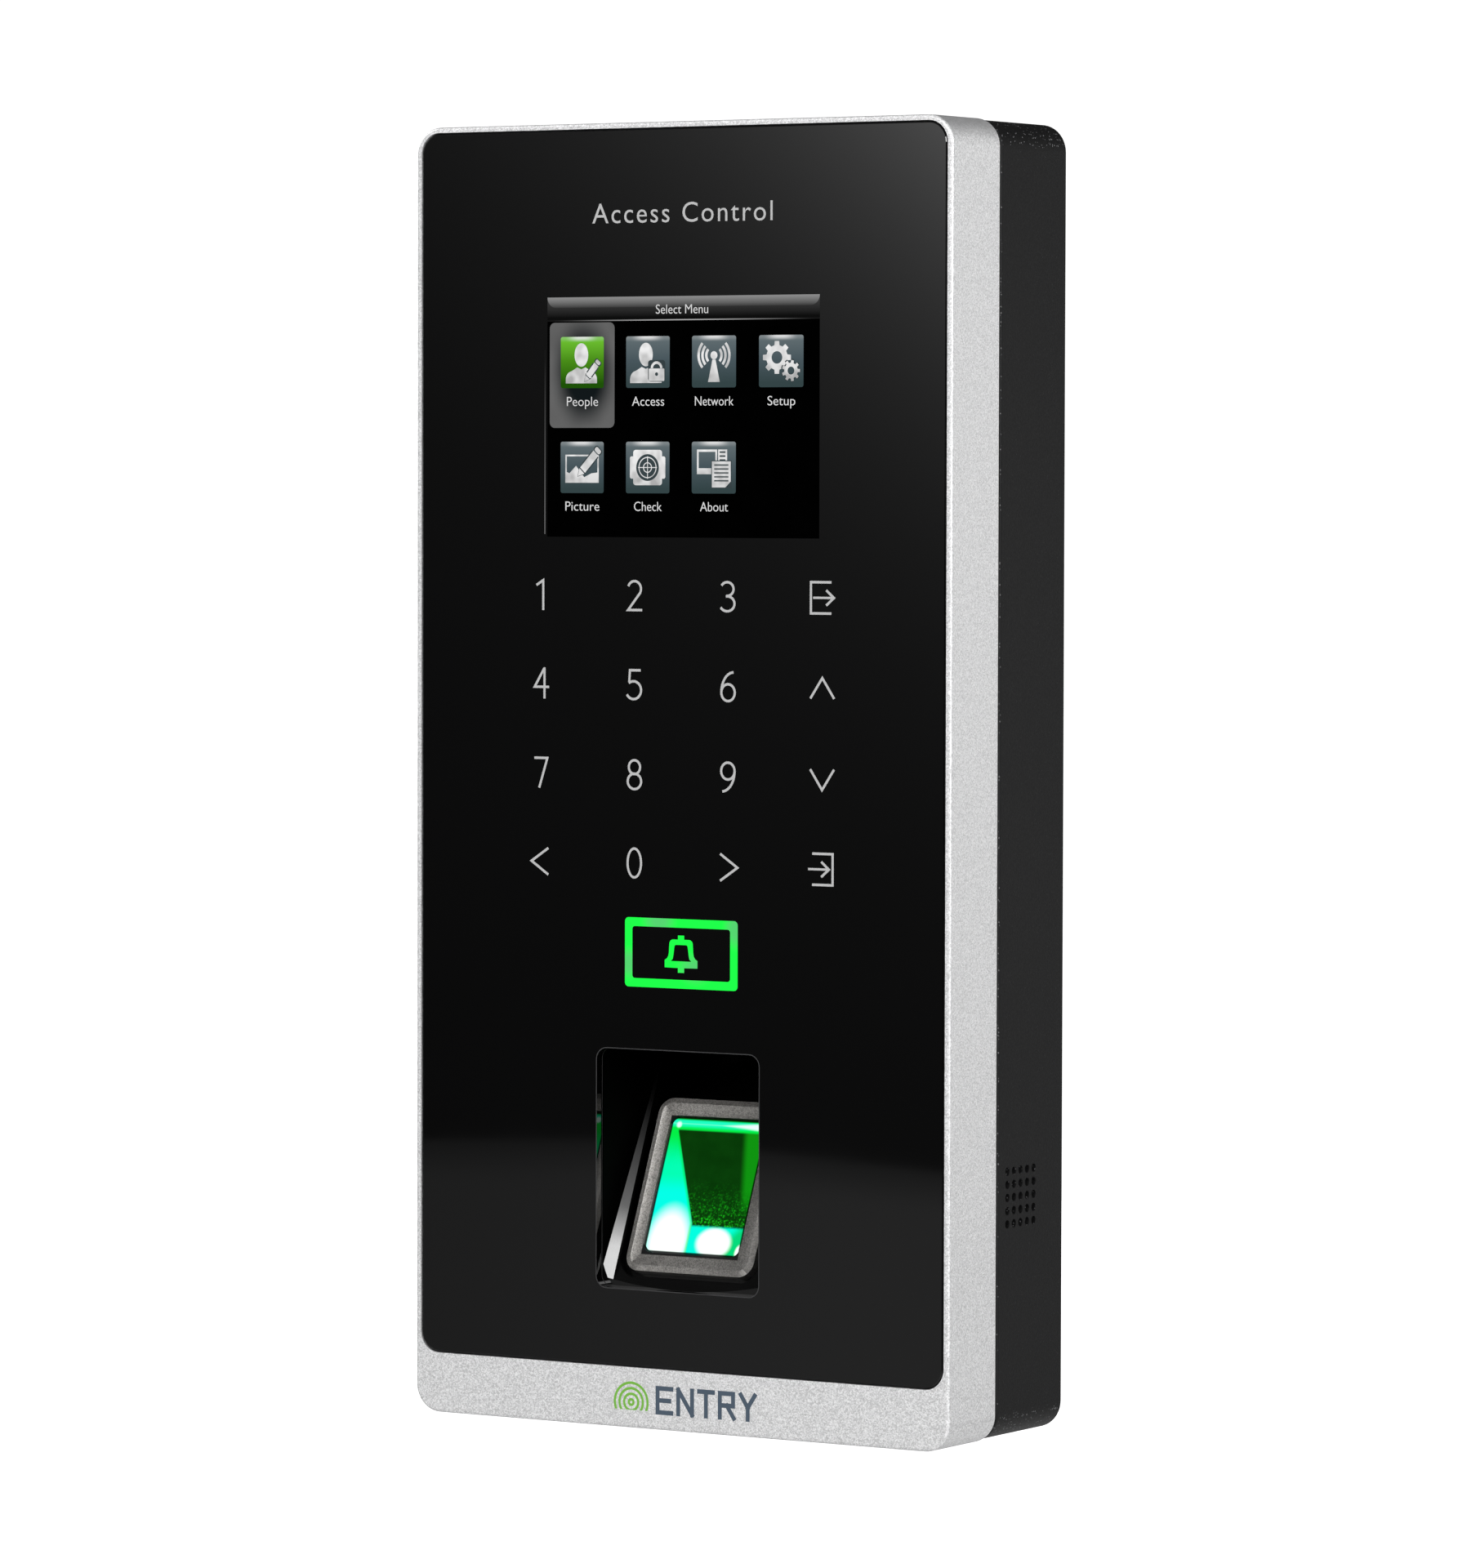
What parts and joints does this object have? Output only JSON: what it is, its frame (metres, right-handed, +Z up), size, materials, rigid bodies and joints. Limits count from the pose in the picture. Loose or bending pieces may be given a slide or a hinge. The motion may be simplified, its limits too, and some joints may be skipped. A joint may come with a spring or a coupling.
{
  "type": "fingerprint access terminal",
  "caption": "Slim wall terminal: black glass face with colour screen, touch keypad, lit bell key and a sloped fingerprint prism, hung on a steel plate.",
  "frame": {"origin": "centre of the wall plate's four screw holes, on the plate's back face, which lies on the wall", "axes": "+Z up the wall, +Y into the wall, so the glass faces -Y and +X is to the right of someone facing it"},
  "size_m": [0.0964, 0.035, 0.2],
  "materials": {
    "silver_paint": "fine silver flake paint, satin",
    "black_texture": "black, fine spark texture with a trace of metal flake",
    "printed_glass": "polished glass printed black on its back",
    "piano_black": "polished black",
    "bezel_paint": "warm grey metal flake, satin",
    "prism_glass": "optical glass lit green from inside",
    "lens_glass": "coated lens",
    "galvanised_steel": "zinc plated, faintly brushed",
    "screw_steel": "zinc plated",
    "insert_brass": "turned",
    "seal_rubber": "moulded silicone, matt",
    "black_tape": "foam adhesive tape",
    "white_film": "diffusing white",
    "light_guide": "frosted clear plastic",
    "led_package": "phosphor and white package",
    "circuit_board": "green solder mask on glass cloth",
    "chip_black": "moulded epoxy",
    "ribbon_film": "amber polyimide over copper",
    "lead_jacket": "soft vinyl",
    "display_glass": "display cell",
    "inner_black": "moulded black",
    "shield_tin": "tin plated",
    "relay_blue": "moulded blue",
    "capacitor_sleeve": "shrunk sleeve",
    "terminal_green": "moulded green"
  },
  "bodies": {
    "wall_side": {"wall_plate": "galvanised_steel"},
    "terminal": {"rear_housing": "black_texture", "housing_seal": "seal_rubber", "bay_seal": "seal_rubber", "housing_screws": "screw_steel", "front_frame": "silver_paint", "frame_inserts": "insert_brass", "glass_tape": "black_tape", "glass_panel": "printed_glass", "key_diffuser": "white_film", "touch_board": "circuit_board", "touch_chip": "chip_black", "key_leds": "led_package", "bell_light_guide": "light_guide", "touch_ribbon": "ribbon_film", "lcd_gasket": "seal_rubber", "lcd_panel": "display_glass", "lcd_backlight": "white_film", "lcd_ribbon": "ribbon_film", "card_antenna": "circuit_board", "antenna_lead": "lead_jacket", "scanner_well": "piano_black", "well_screws": "screw_steel", "scanner_bezel": "bezel_paint", "scanner_prism": "prism_glass", "scanner_chassis": "inner_black", "chassis_screws": "screw_steel", "prism_light_board": "circuit_board", "prism_leds": "led_package", "camera_barrel": "inner_black", "camera_lens": "lens_glass", "camera_board": "circuit_board", "image_sensor": "chip_black", "scanner_ribbon": "ribbon_film", "main_board": "circuit_board", "board_screws": "screw_steel", "processor": "chip_black", "memory_chips": "chip_black", "radio_module": "shield_tin", "door_relay": "relay_blue", "capacitors": "capacitor_sleeve", "buzzer": "chip_black", "cell_holder": "white_film", "backup_cell": "screw_steel", "board_headers": "white_film", "network_jack": "shield_tin", "power_terminals": "terminal_green", "lock_terminals": "terminal_green", "speaker": "inner_black", "speaker_gasket": "seal_rubber", "port_board": "circuit_board", "port_board_screws": "screw_steel", "usb_port": "shield_tin", "reset_switch": "chip_black", "tamper_switch": "chip_black", "tamper_spring": "screw_steel"},
    "usb_cover": {"usb_cover": "seal_rubber"},
    "reset_button": {"reset_button": "white_film"},
    "tamper_plunger": {"tamper_plunger": "white_film"}
  },
  "joints": [
    {"name": "terminal_tilt", "type": "hinge", "parent": "wall_side", "child": "terminal", "pos_m": [0, -0.0003, 0.0998], "axis": [-1, 0, 0], "range_deg": [0, 12]},
    {"name": "usb_cover_hinge", "type": "hinge", "parent": "terminal", "child": "usb_cover", "pos_m": [-0.025, -0.0071, -0.0992], "axis": [1, 0, 0], "range_deg": [0, 100]},
    {"name": "reset_press", "type": "slide", "parent": "terminal", "child": "reset_button", "axis": [0, 0, 1], "range_m": [0, 0.0004], "stiffness_N_per_m": 600, "springref_m": -0.001},
    {"name": "tamper_press", "type": "slide", "parent": "terminal", "child": "tamper_plunger", "axis": [0, -1, 0], "range_m": [0, 0.0012], "stiffness_N_per_m": 200, "springref_m": -0.003, "deforming": ["tamper_spring"]}
  ]
}
